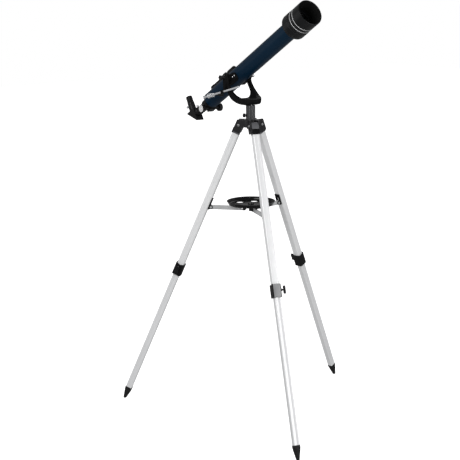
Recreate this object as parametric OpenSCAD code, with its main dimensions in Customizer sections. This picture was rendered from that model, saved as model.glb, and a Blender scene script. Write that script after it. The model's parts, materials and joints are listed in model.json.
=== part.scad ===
// Small refracting telescope on a swept-back fork and a folding three-leg tripod.
// Millimetres, +Z up. The origin is on the floor, on the azimuth axis.
// +X is the way the tube points in plan, +Y is the left side of the telescope.

/* [Tube] */
// Outer diameter of the main tube
tube_od = 61.4; // [58:0.2:64]
// Wall of the main tube
tube_wall = 1.4; // [1:0.1:2]
// Distance from the altitude axis back to the rear end of the tube
tube_back = 191.5; // [185:0.5:196]
// Distance from the altitude axis forward to the objective cell's shoulder
tube_front = 380; // [370:1:390]
// Angle of the tube above level
tube_alt = 30; // [10:1:50]

/* [Dew shield] */
// Outer diameter of the dew shield
shield_od = 92.4; // [90:0.2:93]
// Distance from the altitude axis to the shield's front rim
shield_front = 467; // [460:1:480]
// Centre of the rear trim ring, from the altitude axis
ring_rear = 411; // [405:1:420]
// Spacing of the two trim rings
ring_step = 15; // [10:1:25]

/* [Fork] */
// Height of the altitude axis above the floor
alt_h = 1248; // [1240:1:1260]
// Distance of the altitude axis behind the azimuth axis
alt_back = 76.5; // [70:0.5:80]
// Half the clear width between the fork's arms
fork_in = 46; // [45:0.5:48]
// Thickness of a fork arm
fork_arm = 10; // [8:0.5:12]

/* [Slow motion] */
// Diameter of the slow-motion rod
rod_d = 7; // [5:0.5:8]
// Place of the rod across the telescope
rod_y = -67.5; // [-70:0.5:-66]
// Drop of the rod swivel below the altitude axis
swivel_drop = 50.5; // [48:0.5:54]

/* [Tripod] */
// Height of the leg hinges
hinge_h = 1080; // [1060:5:1100]
// Distance of a leg hinge from the azimuth axis
hinge_r = 41; // [40:0.5:46]
// Distance of a foot from the azimuth axis
foot_r = 509; // [490:1:520]
// Turn of the first leg about the azimuth axis
leg_turn = -19.2; // [-60:0.1:60]
// Width of an upper leg
leg_w = 25; // [24:0.5:26]
// Depth of an upper leg
leg_t = 26.5; // [25:0.5:28]
// Outer diameter of the fluted column
column_d = 34; // [32:0.5:36]

/* [Tray] */
// Diameter of the accessory tray's rim
tray_d = 178; // [170:1:180]
// Height of the spreader pivots above the floor
pivot_h = 773; // [765:1:780]
// Distance of the spreader's outer pivots from the azimuth axis
pivot_r = 150; // [145:1:155]

/* [Hidden] */
$fn = 64;
LEGS = [1, 2, 3];
leg_names = [for (part = ["upper_leg_", "leg_fittings_", "leg_clamp_", "clamp_screw_",
    "lower_leg_", "foot_", "spreader_arm_"]) for (i = LEGS) str(part, i)];

// Running clearance of a shaft in its bore, and the gap between moving faces
slip = 0.06;
gap = 0.35;

tube_r = tube_od / 2;
tube_in = tube_r - tube_wall;
shield_r = shield_od / 2;
shield_in = shield_r - 2.5;
shield_rear = 401;
cell_front = 412;
ring_places = [ring_rear, ring_rear + ring_step];

// Rack and pinion focuser
draw_r = 14;
draw_bore = 12.3;
nose_r = 12.24;
draw_front = -150;
draw_rear = -297;
gear_m = 1;
gear_teeth = 12;
gear_pitch_r = gear_m * gear_teeth / 2;
rack_line = -17.6;
pinion_s = -212;
pinion_n = rack_line - gear_pitch_r;

// Star diagonal and eyepiece
diag_s = -326;
diag_front = -300;
diag_half = 15.5;
diag_leg = 50;
diag_top = 18;
holder_top = 40;
eye_top = 78;

// Finder
finder_off = 46.5;
finder_r = 8.2;
finder_ring_r = 10.2;
finder_roll = 20;
finder_clamp_s = -86;

// Altitude axis
bolt_r = 4;
fork_out = fork_in + fork_arm;
cradle_y = 37;
arm_y0 = -(fork_out + gap);
arm_t = 5;

// Slow-motion linkage, seen from the altitude axis: forward and up
block_x = -71.4;
block_z = -67.9;
rod_rise = atan2(-swivel_drop - block_z, -block_x);
rod_back = 46;
rod_ahead = 176;
stud_r = 3;

// Azimuth axis
fork_base = 1151;
lock_z = 1115;
spindle_r = 10;
column_base = 1100;

// Legs
splay = atan2(foot_r - hinge_r, hinge_h);
leg_len = norm([foot_r - hinge_r, hinge_h]);
clamp_d = leg_len - 580;
rail_end = 8;
screw_z = 3 - clamp_d;
leg_wall = 1.1;
slim_w = leg_w - 2.8;
slim_t = leg_t - 2.8;
slim_top = 505;
foot_top = leg_len - 51;
cheek_in = leg_w / 2 + gap;
cheek_t = 6.5;

// Spreader
hub_pivot_r = 25;
spreader_t = 4;
spreader_w = 17;
lug_r = 10.5;
plate_z = 786;
tray_z = plate_z + 2;
tray_rim = 802;
hole_count = 6;
hole_r = 13;
hole_place = 55;

// ---- Placing ----

// The tube's own frame: X forward along the tube, Y left, Z up from it
module on_tube() {
    translate([-alt_back, 0, alt_h]) rotate([0, -tube_alt, 0]) children();
}

// The finder's frame: X forward along the finder
module on_finder() {
    on_tube() rotate([-finder_roll, 0, 0]) translate([0, 0, finder_off]) children();
}

// A leg's radial frame: X outward from the azimuth axis
module on_spoke(i) {
    rotate([0, 0, leg_turn + 120 * (i - 1)]) children();
}

// A leg's own frame: -Z runs down the leg from its hinge, +X is the outer face
module on_leg(i) {
    on_spoke(i) translate([hinge_r, 0, hinge_h]) rotate([0, -splay, 0]) children();
}

// The slow-motion rod's frame: X forward along the rod, from its rear block
module on_rod() {
    translate([block_x - alt_back, rod_y, alt_h + block_z]) rotate([0, -rod_rise, 0]) children();
}

module bar_x(r, x0, x1) {
    translate([x0, 0, 0]) rotate([0, 90, 0]) cylinder(r = r, h = x1 - x0);
}

module bar_y(r, y0, y1) {
    translate([0, y0, 0]) rotate([-90, 0, 0]) cylinder(r = r, h = y1 - y0);
}

// A solid of revolution about X from points [radius, x]
module turned_x(points) {
    rotate([0, 90, 0]) rotate_extrude() polygon(points);
}

module ring_x(r_out, r_in, x0, x1) {
    turned_x([[r_in, x0], [r_out, x0], [r_out, x1], [r_in, x1]]);
}

// A flat outline in X and Z, given a thickness along Y
module slab_y(y0, y1) {
    translate([0, y1, 0]) rotate([90, 0, 0]) linear_extrude(y1 - y0) children();
}

// Two discs and the straight band that touches both
module link_2d(a, ra, b, rb) {
    d = b - a;
    turn = atan2(d[1], d[0]);
    open = acos((ra - rb) / norm(d));
    translate(a) circle(r = ra);
    translate(b) circle(r = rb);
    polygon([for (e = [[a, ra, open], [b, rb, open], [b, rb, -open], [a, ra, -open]])
        e[0] + e[1] * [cos(turn + e[2]), sin(turn + e[2])]]);
}

module round_rect(w, h, r) {
    square([w - 2 * r, h], center = true);
    square([w, h - 2 * r], center = true);
    for (x = [-1, 1])
        for (y = [-1, 1])
            translate([x * (w / 2 - r), y * (h / 2 - r)]) circle(r = r);
}

// A lobed knob outline
module lobes_2d(r, count) {
    difference() {
        circle(r = r);
        for (i = [0 : count - 1])
            rotate(360 / count * i) translate([r * 1.12, 0]) circle(r = r * 0.24, $fn = 24);
    }
}

// A thumbscrew along +Z: shank from z0 to z1, flat wing above it
module thumbscrew(shank_r, z0, z1, head_w, head_h, head_t) {
    translate([0, 0, z0]) cylinder(r = shank_r, h = z1 - z0);
    translate([0, 0, z1]) cylinder(r = head_t * 0.9, h = 2);
    translate([-head_w / 2, -head_t / 2, z1 + 2]) cube([head_w, head_t, head_h - 2]);
}

// ---- Objective ----

module dew_shield() {
    color("#1b1c1e") on_tube() difference() {
        turned_x([[shield_in, shield_rear + gap], [shield_r - 0.8, shield_rear + gap],
            [shield_r, shield_rear + 1.2], [shield_r, shield_front - 1.5],
            [shield_r - 1, shield_front], [shield_in, shield_front]]);
        for (s = ring_places)
            ring_x(shield_r + 1, shield_r - 0.6, s - 1.1, s + 1.1);
    }
}

module trim_rings() {
    color("#d8dade") on_tube()
        for (s = ring_places)
            ring_x(shield_r, shield_r - 0.6, s - 1.1, s + 1.1);
}

module objective_cell() {
    spigot = shield_in - slip;
    color("#222326") on_tube()
        turned_x([[tube_r, 356], [tube_r + 2.5, 356], [tube_r + 4, 358], [44.5, 364],
            [47, 369], [47, 399.5], [46.3, shield_rear], [spigot, shield_rear],
            [spigot, cell_front], [33.2, cell_front], [33.2, 402], [31.1, 402],
            [31.1, 390], [28.6, 390], [28.6, tube_front], [tube_r, tube_front]]);
}

// Crown and flint glasses of the objective
module objective_lenses() {
    color("#9fc0cf") on_tube() {
        turned_x([[0, 396.6], [31, 397.6], [31, 400.4], [0, 402.6]]);
        turned_x([[0, 391.4], [31, 390], [31, 396.4], [0, 395.6]]);
    }
}

// Retaining ring in front of the glasses, and the two light stops in the tube
module stop_rings() {
    color("#2a2b2d") on_tube() {
        ring_x(33.15, 30, 402, 406);
        ring_x(tube_in, 23, 120, 121.5);
        ring_x(tube_in, 18.5, -40, -38.5);
    }
}

module main_tube() {
    color("#1d3f59") on_tube() ring_x(tube_r, tube_in, -tube_back, tube_front);
}

// ---- Cradle that carries the tube between the fork's arms ----

module tube_cradle() {
    color("#26272a") on_tube() difference() {
        union() {
            slab_y(-cradle_y, cradle_y) link_2d([-20, -8], 15, [20, -8], 15);
            for (side = [-1, 1])
                bar_y(13, side < 0 ? -fork_in + gap : 0, side < 0 ? 0 : fork_in - gap);
        }
        bar_x(tube_r, -60, 60);
        translate([-60, -24, -10]) cube([120, 48, 60]);
        bar_y(bolt_r, -fork_in, -cradle_y);
        bar_y(bolt_r, cradle_y, fork_in);
    }
}

// A bolt each side, fixed in the cradle, and the stud that carries the rod's block
module pivot_bolts() {
    color("#c9ccd0") {
        translate([-alt_back, 0, alt_h]) {
            bar_y(bolt_r, -cradle_y - 41, -cradle_y);
            bar_y(bolt_r, cradle_y, fork_out + 14);
        }
        difference() {
            on_rod() {
                bar_y(stud_r, 5.6, 50);
                bar_y(7, 38, 50);
            }
            on_tube() bar_x(tube_r, -tube_back, 0);
        }
    }
}

// Cradle screws, two on each side, and the finder's adjusting screws
module small_screws() {
    color("#d9dbde") {
        on_tube()
            for (side = [-1, 1])
                for (s = [17, 29])
                    translate([s, side * cradle_y, -8]) rotate([-90 * side, 0, 0]) {
                        cylinder(r = 3.2, h = 1.4);
                        cylinder(r = 2.2, h = 2.2);
                    }
        on_finder()
            for (turn = [90, 210, 330])
                rotate([turn, 0, 0]) translate([finder_clamp_s, finder_r, 0]) rotate([-90, 0, 0]) {
                    cylinder(r = 1.4, h = 7.2);
                    translate([0, 0, 5.2]) cylinder(r = 2.8, h = 3.6);
                }
    }
}

// ---- Finder ----

module finder_bracket() {
    color("#232427") difference() {
        union() {
            on_finder() ring_x(finder_ring_r + 2.6, finder_ring_r, finder_clamp_s - 6, finder_clamp_s + 6);
            on_tube() rotate([-finder_roll, 0, 0]) {
                translate([finder_clamp_s - 5, -4, tube_r + 1]) cube([10, 8, 4.3]);
                translate([finder_clamp_s - 16, -9, tube_r - 3]) cube([32, 18, 5.5]);
            }
        }
        on_tube() bar_x(tube_r, -140, 0);
        on_finder() {
            bar_x(finder_ring_r, finder_clamp_s - 8, finder_clamp_s + 8);
            for (turn = [90, 210, 330])
                rotate([turn, 0, 0]) translate([finder_clamp_s, finder_ring_r - 0.6, 0]) rotate([-90, 0, 0])
                    cylinder(r = 1.4, h = 4);
        }
    }
}

module finder_tube() {
    color("#2b2c30") on_finder()
        turned_x([[6.4, -184], [7.8, -184], [9.2, -182], [9.2, -166], [finder_r, -164],
            [finder_r, -64], [10.8, -58], [10.8, -23], [10, -21], [8.8, -21], [8.8, -56],
            [6.9, -60], [6.9, -166], [6.4, -168]]);
}

// Object glass and eye glass of the finder
module finder_lenses() {
    color("#a8c4d0") on_finder() {
        turned_x([[0, -33], [8.8, -32], [8.8, -29], [0, -27.5]]);
        turned_x([[0, -180], [6.4, -179], [6.4, -176.5], [0, -176]]);
    }
}

// ---- Focuser ----

// Outline of the pinion: involute flanks from the base circle outwards
function involute(t) = [cos(t) + t * PI / 180 * sin(t), sin(t) - t * PI / 180 * cos(t)];
gear_base = gear_pitch_r * cos(20);
gear_outer = gear_pitch_r + 0.8;
gear_half = 90 / gear_teeth - 1.3 + (tan(20) * 180 / PI - 20);
function flank(steps) = [for (k = [0 : steps])
    let (t = k / steps * acos(gear_base / gear_outer), u = tan(t) * 180 / PI)
    gear_base * involute(u)];
function spin(p, a) = [p[0] * cos(a) - p[1] * sin(a), p[0] * sin(a) + p[1] * cos(a)];
function flip(p) = [p[0], -p[1]];

module pinion_2d() {
    side = flank(4);
    circle(r = gear_pitch_r - 1.15);
    for (i = [0 : gear_teeth - 1])
        rotate(90 + 360 / gear_teeth * i)
            polygon(concat([spin([3, 0], -gear_half)], [for (p = side) spin(p, -gear_half)],
                [for (k = [len(side) - 1 : -1 : 0]) spin(flip(side[k]), gear_half)],
                [spin([3, 0], gear_half)]));
}

module focuser_housing() {
    color("#1f2023") on_tube() difference() {
        union() {
            turned_x([[0, -168], [tube_in, -168], [tube_in, -tube_back], [tube_r, -tube_back],
                [tube_r, -198], [28, -201], [22, -206], [19, -212], [19, -236], [18, -238],
                [0, -238]]);
            translate([pinion_s - 12, -13, -34]) cube([24, 26, 24]);
        }
        bar_x(draw_r + slip, -240, -160);
        translate([-240, -3.4, -18.9]) cube([80, 6.8, 8]);
        translate([pinion_s, 0, pinion_n]) {
            bar_y(7.6, -3.4, 3.4);
            bar_y(3 + slip, -14, 14);
        }
    }
}

module drawtube() {
    pitch = PI * gear_m;
    first = -13;
    last = 14;
    color("#2a2b2e") on_tube() difference() {
        union() {
            bar_x(draw_r, draw_rear, draw_front);
            turned_x([[0, draw_rear], [15.6, draw_rear], [16.5, draw_rear + 1],
                [16.5, draw_rear + 13], [15.6, draw_rear + 14], [0, draw_rear + 14]]);
            slab_y(-3, 3) {
                translate([pinion_s + pitch * first, rack_line + 1.25])
                    square([pitch * (last - first), 4]);
                for (i = [first : last - 1])
                    translate([pinion_s + pitch * (i + 0.5), rack_line])
                        polygon([[-1.2, 1.3], [1.2, 1.3], [0.5, -0.65], [-0.5, -0.65]]);
            }
        }
        bar_x(draw_bore, draw_rear - 1, draw_front + 1);
        translate([draw_rear + 7, 0, 10]) cylinder(r = 1.6, h = 10);
    }
}

module focus_shaft() {
    color("#c6c9cd") on_tube() translate([pinion_s, 0, pinion_n]) {
        bar_y(3, -45, 45);
        slab_y(-2.8, 2.8) pinion_2d();
    }
}

module focus_knobs() {
    color("#1c1d20") on_tube() translate([pinion_s, 0, pinion_n])
        for (side = [-1, 1])
            rotate([-90 * side, 0, 0]) difference() {
                union() {
                    translate([0, 0, 14]) cylinder(r = 7, h = 19);
                    translate([0, 0, 32]) cylinder(r = 15, h = 14);
                }
                translate([0, 0, 13]) cylinder(r = 3, h = 32);
                translate([0, 0, 45]) cylinder(r = 13.4, h = 2);
            }
}

module knob_caps() {
    color("#dfe1e4") on_tube() translate([pinion_s, 0, pinion_n])
        for (side = [-1, 1])
            rotate([-90 * side, 0, 0]) translate([0, 0, 45]) cylinder(r = 13.4, h = 1.6);
}

module drawtube_screw() {
    color("#cfd2d6") on_tube() translate([draw_rear + 7, 0, 0])
        thumbscrew(1.55, draw_bore + 0.1, 18.5, 12, 8, 3);
}

// ---- Star diagonal ----

// The mirror from the side, at 45 degrees across the light's turn
module mirror_2d() {
    half = 16;
    thick = 2.4;
    centre = [diag_s + 6.4, -1.6];
    polygon([centre + [half, -half], centre + [-half, half],
        centre + [-half - thick, half - thick], centre + [half - thick, -half - thick]]);
}

module diagonal_housing() {
    wall = 2.5;
    low = diag_top - diag_leg;
    back = diag_front - diag_leg;
    color("#1f1f23") on_tube() difference() {
        union() {
            slab_y(-diag_half, diag_half)
                polygon([[diag_front, low], [diag_front, diag_top], [back, diag_top],
                    [back, diag_top - 3], [diag_front - 3, low]]);
            bar_x(nose_r, diag_front - 1, draw_rear + 20);
            translate([diag_s, 0, diag_top - 1]) cylinder(r = 14, h = holder_top - diag_top + 1);
        }
        slab_y(-diag_half + wall, diag_half - wall)
            polygon([[diag_front - wall, low + 9], [diag_front - wall, diag_top - wall],
                [back + 9, diag_top - wall]]);
        slab_y(-diag_half + wall, diag_half - wall) mirror_2d();
        bar_x(10.4, diag_front - 6, draw_rear + 21);
        translate([diag_s, 0, diag_top - 4]) cylinder(r = 10.4, h = 30);
        translate([diag_s, 0, 21]) cylinder(r = draw_bore, h = 30);
        translate([diag_s, 0, 34]) rotate([90, 0, 0]) cylinder(r = 1.6, h = 20);
    }
}

module diagonal_mirror() {
    color("#d5dde2") on_tube() slab_y(-diag_half + 2.6, diag_half - 2.6) mirror_2d();
}

module diagonal_screw() {
    color("#cfd2d6") on_tube() translate([diag_s, 0, 34]) rotate([90, 0, 0])
        thumbscrew(1.55, draw_bore + 0.1, 16, 11, 8, 3);
}

// ---- Eyepiece ----

module eyepiece_barrel() {
    color("#d0d3d6") on_tube() translate([diag_s, 0, 0]) rotate_extrude()
        polygon([[10.8, 22], [nose_r, 22], [nose_r, 48], [10.8, 48]]);
}

module eyepiece_body() {
    color("#232327") on_tube() translate([diag_s, 0, 0]) rotate_extrude()
        polygon([[nose_r, holder_top + gap], [13.4, holder_top + gap], [13.6, 52], [12.6, 54],
            [12.4, 70], [12, eye_top], [9.4, eye_top], [8, 74.6], [8, 48], [nose_r, 48]]);
}

module eye_lens() {
    color("#a8c4d0") on_tube() translate([diag_s, 0, 0]) rotate_extrude()
        polygon([[0, 71], [8, 70], [8, 73], [0, 74.4]]);
}

// ---- Fork ----

// The fork seen from the side: forward and up from the altitude axis
module fork_side_2d() {
    base = fork_base - alt_h;
    polygon([[-8.5, 0], [8.5, 0], [10, -18], [19, -31], [31, -44], [43, -54.5], [54, -63], [64, -69],
        [78, -72.5], [94, -74], [100, -80], [99, base + 9], [95, base + 4], [86, base], [58, base],
        [44, base + 6], [31, -80],
        [21, -67], [12, -53], [1, -38], [-6.5, -26]]);
}

// The fork seen from above: forward from the altitude axis, and across
module fork_plan_2d() {
    bow = [50, 58];
    polygon(concat([[-20, -bow[1]]], [for (k = [-8 : 8])
        [bow[0] + bow[0] * cos(11.25 * k), bow[1] * sin(11.25 * k)]], [[-20, bow[1]]]));
}

// Points on an arc about a centre, from one angle to another
function arc(c, r, from, to, steps) =
    [for (k = [0 : steps]) c + r * [cos(from + (to - from) * k / steps), sin(from + (to - from) * k / steps)]];

// The fork seen from the front: across, and up from the altitude axis
module fork_front_2d() {
    base = fork_base - alt_h;
    saddle = base + 22;
    top = 30;
    out_r = 28;
    in_r = 24;
    polygon(concat([[-fork_out, top]],
        arc([-fork_out + out_r, base + out_r], out_r, 180, 270, 6),
        arc([fork_out - out_r, base + out_r], out_r, 270, 360, 6),
        [[fork_out, top], [fork_in, top]],
        arc([fork_in - in_r, saddle + in_r], in_r, 0, -90, 6),
        arc([-fork_in + in_r, saddle + in_r], in_r, -90, -180, 6),
        [[-fork_in, top]]));
}

module yoke() {
    color("#2c2d2f") difference() {
        translate([-alt_back, 0, alt_h]) {
            intersection() {
                slab_y(-60, 60) fork_side_2d();
                rotate([90, 0, 90]) linear_extrude(260, center = true) fork_front_2d();
                translate([0, 0, -100]) linear_extrude(140) fork_plan_2d();
            }
            bar_y(9.5, fork_in, fork_out);
            bar_y(9.5, -fork_out, -fork_in);
        }
        translate([-alt_back, 0, alt_h]) bar_y(bolt_r + slip, -60, 60);
        translate([0, 0, fork_base - 1]) cylinder(r = spindle_r - 2, h = 12);
    }
}

// Spindle pressed into the fork's base, turning in the column
module azimuth_spindle() {
    color("#b9bcc0") {
        translate([0, 0, fork_base]) cylinder(r = spindle_r - 2, h = 11);
        translate([0, 0, 1112]) cylinder(r = spindle_r, h = fork_base - 1112);
    }
}

// ---- Altitude clamp and slow motion ----

module tangent_arm() {
    color("#3a3b3e") translate([-alt_back, 0, alt_h]) difference() {
        union() {
            slab_y(arm_y0 - arm_t, arm_y0) link_2d([0, 0], 8, [0, -swivel_drop], 5.5);
            translate([0, 0, -swivel_drop]) bar_y(2.4, arm_y0 - arm_t - 2.4, arm_y0);
        }
        bar_y(bolt_r + slip, -70, -50);
    }
}

// A lobed clamp knob whose neck starts at y, on the side given
module clamp_knob(y, side, r, neck, h) {
    translate([-alt_back, y, alt_h]) rotate([-90 * side, 0, 0]) difference() {
        union() {
            cylinder(r = r * 0.7, h = neck + h);
            translate([0, 0, neck]) linear_extrude(h) lobes_2d(r, 6);
        }
        translate([0, 0, -1]) cylinder(r = bolt_r + slip, h = neck + h - 1.5);
    }
}

module altitude_knob_right() {
    color("#1e1f21") clamp_knob(arm_y0 - arm_t - gap, -1, 9.5, 11, 8);
}

module altitude_knob_left() {
    color("#b9bcc0") clamp_knob(fork_out + 7, 1, 6, 2, 8);
}

module rod_swivel() {
    y1 = arm_y0 - arm_t - gap;
    color("#3a3b3e") difference() {
        translate([-alt_back, 0, alt_h - swivel_drop]) rotate([0, -rod_rise, 0])
            translate([-6, rod_y - 6.2, -6]) cube([12, y1 - rod_y + 6.2, 12]);
        on_rod() bar_x(rod_d / 2, 40, 160);
        translate([-alt_back, 0, alt_h - swivel_drop]) bar_y(2.4 + slip, arm_y0 - arm_t - 3, arm_y0);
    }
}

module slow_motion_rod() {
    color("#d4d6d9") on_rod() {
        bar_x(rod_d / 2, -rod_back, rod_ahead);
        bar_x(6, -rod_back - 3, -rod_back);
    }
}

// Swivelling block on a stud that stands out of the tube
module rod_block() {
    color("#cfd2d5") difference() {
        on_rod() translate([-5, -6.5, -6.5]) cube([10, 17, 13]);
        on_rod() bar_x(rod_d / 2 + 0.6, -10, 10);
        on_rod() bar_y(stud_r + slip, 5.5, 12);
    }
}

module rod_nut() {
    color("#dcdee0") on_rod() difference() {
        union() {
            bar_x(9, -20, -13);
            bar_x(6, -14, -5 - gap);
        }
        bar_x(rod_d / 2 + 0.6, -21, 0);
    }
}

// ---- Azimuth column and tripod head ----

module column() {
    flutes = 12;
    r = column_d / 2;
    color("#5d5f63") difference() {
        union() {
            translate([0, 0, column_base]) cylinder(r = r, h = fork_base - gap - column_base);
            translate([0, 0, 1066]) cylinder(r = 14, h = 40);
        }
        for (i = [0 : flutes - 1])
            rotate(360 / flutes * (i + 0.5)) translate([r + 0.8, 0, column_base + 2])
                cylinder(r = 2.2, h = 80, $fn = 24);
        translate([0, 0, 1111]) cylinder(r = spindle_r + slip, h = 60);
        rotate(250) translate([5, 0, lock_z]) rotate([0, 90, 0]) cylinder(r = 2.6, h = 20);
    }
}

module azimuth_lock_screw() {
    color("#1e1f21") rotate(250) translate([0, 0, lock_z]) rotate([0, 90, 0]) {
        translate([0, 0, spindle_r + 0.4]) cylinder(r = 2.54, h = 10);
        translate([0, 0, 19.6]) linear_extrude(9) lobes_2d(7.5, 6);
    }
}

// Side outline of a hub arm and its hinge cheeks: outward and up from the hinge
module cheek_2d() {
    polygon([[8 - hinge_r, 20], [5, 20], [22, -17], [20, -22], [-2, -30], [-13.5, -8],
        [8 - hinge_r, -6]]);
}

module tripod_hub() {
    color("#26272a") difference() {
        union() {
            translate([0, 0, 1072]) cylinder(r = 26, h = 28);
            for (i = LEGS)
                on_spoke(i) translate([hinge_r, 0, hinge_h]) {
                    for (side = [-1, 1])
                        slab_y(side < 0 ? -cheek_in - cheek_t : cheek_in,
                            side < 0 ? -cheek_in : cheek_in + cheek_t) cheek_2d();
                    translate([8 - hinge_r, -cheek_in - 1, -6]) cube([hinge_r - 25, 2 * cheek_in + 2, 26]);
                }
        }
        translate([0, 0, 1060]) cylinder(r = 14, h = 60);
        for (i = LEGS)
            on_spoke(i) translate([hinge_r, 0, hinge_h]) bar_y(3 + slip, -30, 30);
        for (i = LEGS)
            on_spoke(i) translate([hinge_r, 0, hinge_h]) bar_y(leg_t / 2 + 0.95, -cheek_in, cheek_in);
    }
}

module hinge_bolts() {
    end = cheek_in + cheek_t;
    color("#cdd0d3")
        for (i = LEGS)
            on_spoke(i) translate([hinge_r, 0, hinge_h]) {
                bar_y(3, -end, end);
                bar_y(5.5, end, end + 3.2);
                bar_y(5.5, -end - 3.2, -end);
            }
}

// ---- Legs ----

module upper_leg(i) {
    color("#d6d7d9") on_leg(i) difference() {
        union() {
            translate([0, 0, -clamp_d + rail_end]) linear_extrude(clamp_d - rail_end) difference() {
                round_rect(leg_t, leg_w, 4);
                round_rect(leg_t - 2 * leg_wall, leg_w - 2 * leg_wall, 2.9);
            }
            bar_y(leg_t / 2, -leg_w / 2, leg_w / 2);
        }
        bar_y(3 + slip, -20, 20);
    }
}

// Saddle below the hinge, and the bracket that holds the spreader's outer pivot
module leg_fittings(i) {
    lug_z = (hinge_h - pivot_h) / cos(splay);
    color("#222326") {
        on_leg(i) difference() {
            translate([-2, -leg_w / 2, -34]) cube([leg_t / 2 + 4.5, leg_w, 19]);
            translate([0, 0, -35]) linear_extrude(21) round_rect(leg_t, leg_w, 4);
        }
        difference() {
            union() {
                on_leg(i) translate([-leg_t / 2 - 3, -leg_w / 2 - 3, -lug_z - 10])
                    cube([leg_t / 2 + 3, leg_w + 6, 42]);
                on_spoke(i) translate([pivot_r, 0, pivot_h]) slab_y(-6, 6)
                    link_2d([0, 0], lug_r, [20, 1], lug_r + 0.5);
            }
            on_leg(i) translate([0, 0, -420]) linear_extrude(220) round_rect(leg_t, leg_w, 4);
            on_leg(i) translate([leg_t / 4, -leg_w, -420]) cube([leg_t, 2 * leg_w, 220]);
            on_spoke(i) translate([pivot_r - 12, -spreader_t / 2 - gap, pivot_h - 16])
                cube([22.5, spreader_t + 2 * gap, 32]);
        }
        on_spoke(i) translate([pivot_r, 0, pivot_h]) {
            bar_y(2, -6, 6);
            bar_y(4.5, 6, 8);
            bar_y(4.5, -8, -6);
        }
    }
}

// Clamp moulded round the two tubes, its upper rim peaked at the sides
module leg_clamp(i) {
    tall = 47;
    low = -clamp_d - 23;
    color("#1f2022") on_leg(i) difference() {
        union() {
            translate([0, 0, low]) linear_extrude(tall) round_rect(leg_t + 7.5, leg_w + 8, 5);
            translate([0, leg_w / 2, screw_z]) rotate([-90, 0, 0]) cylinder(r = 7, h = 7);
        }
        translate([0, 0, -clamp_d + rail_end]) linear_extrude(60) round_rect(leg_t, leg_w, 4);
        translate([0, 0, -clamp_d - 30]) linear_extrude(60)
            round_rect(slim_t + 0.8, slim_w + 0.8, 3);
        translate([0, 0, screw_z]) rotate([-90, 0, 0]) cylinder(r = 2.6, h = 30);
        translate([0, 0, low + tall + 13]) bar_y(17, -40, 40);
    }
}

module clamp_screw(i) {
    color("#1b1c1e") on_leg(i) translate([0, 0, screw_z]) rotate([-90, 0, 0]) rotate(90)
        thumbscrew(2.54, slim_w / 2 + 0.6, leg_w / 2 + 13, 29, 10, 7);
}

module lower_leg(i) {
    color("#cfd1d4") on_leg(i) translate([0, 0, -foot_top - 6]) linear_extrude(foot_top + 6 - slim_top)
        difference() {
            round_rect(slim_t, slim_w, 3);
            round_rect(slim_t - 2.6, slim_w - 2.6, 1.8);
        }
}

module foot(i) {
    tip = 9;
    color("#1a1b1c") on_leg(i) intersection() {
        translate([0, 0, -leg_len - 20]) linear_extrude(80) round_rect(slim_t + 2, slim_w + 2, 4);
        difference() {
            translate([0, 0, -leg_len - tip]) cylinder(r1 = 3.4, r2 = 16.6, h = leg_len + tip - foot_top);
            translate([0, 0, -foot_top - 6]) linear_extrude(30) round_rect(slim_t, slim_w, 3);
        }
        rotate([0, splay, 0]) translate([foot_r - hinge_r - 60, -60, -hinge_h]) cube(120);
    }
}

// ---- Spreader and tray ----

// Flat arm. Its inner end has a slot that takes up the hub pin's travel
module spreader_arm(i) {
    slot = 9;
    half = spreader_t / 2;
    color("#77797c") on_spoke(i) translate([0, 0, pivot_h]) difference() {
        union() {
            translate([hub_pivot_r + 1, -half, -spreader_w / 2 + 0.5])
                cube([pivot_r - hub_pivot_r - 1, spreader_t, spreader_w - 1]);
            for (x = [hub_pivot_r + 1, pivot_r])
                translate([x, 0, 0]) bar_y(spreader_w / 2, -half, half);
        }
        translate([hub_pivot_r, -half - 1, -3]) cube([slot, spreader_t + 2, 6]);
        for (x = [hub_pivot_r, hub_pivot_r + slot])
            translate([x, 0, 0]) bar_y(3, -half - 1, half + 1);
        translate([pivot_r, 0, 0]) bar_y(2 + slip, -half - 1, half + 1);
    }
}

module spreader_hub() {
    color("#222326") {
        translate([0, 0, plate_z]) cylinder(r = 32, h = 2);
        translate([0, 0, 764]) cylinder(r = 8, h = plate_z - 763);
        for (i = LEGS)
            on_spoke(i) translate([hub_pivot_r, 0, pivot_h]) {
                for (side = [-1, 1])
                    translate([-5, side < 0 ? -6 : spreader_t / 2 + gap, -6])
                        cube([10, 6 - spreader_t / 2 - gap, plate_z - pivot_h + 7]);
                bar_y(2, -6, 6);
                bar_y(4, -8.5, -6);
                bar_y(4, 6, 8.5);
            }
    }
}

module accessory_tray() {
    rim = tray_d / 2;
    floor_r = rim - 8;
    color("#17181a") difference() {
        union() {
            rotate_extrude() polygon([[0, tray_z], [floor_r, tray_z], [rim - 2, tray_rim - 2],
                [rim, tray_rim - 1.5], [rim, tray_rim], [rim - 3.5, tray_rim], [floor_r - 1, tray_z + 2],
                [0, tray_z + 2]]);
            translate([0, 0, tray_z + 2]) cylinder(r = 11, h = 5);
        }
        for (i = [0 : hole_count - 1])
            rotate(leg_turn + 360 / hole_count * (i + 0.5)) translate([hole_place, 0, tray_z - 1])
                cylinder(r = hole_r, h = 4);
    }
}

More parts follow.
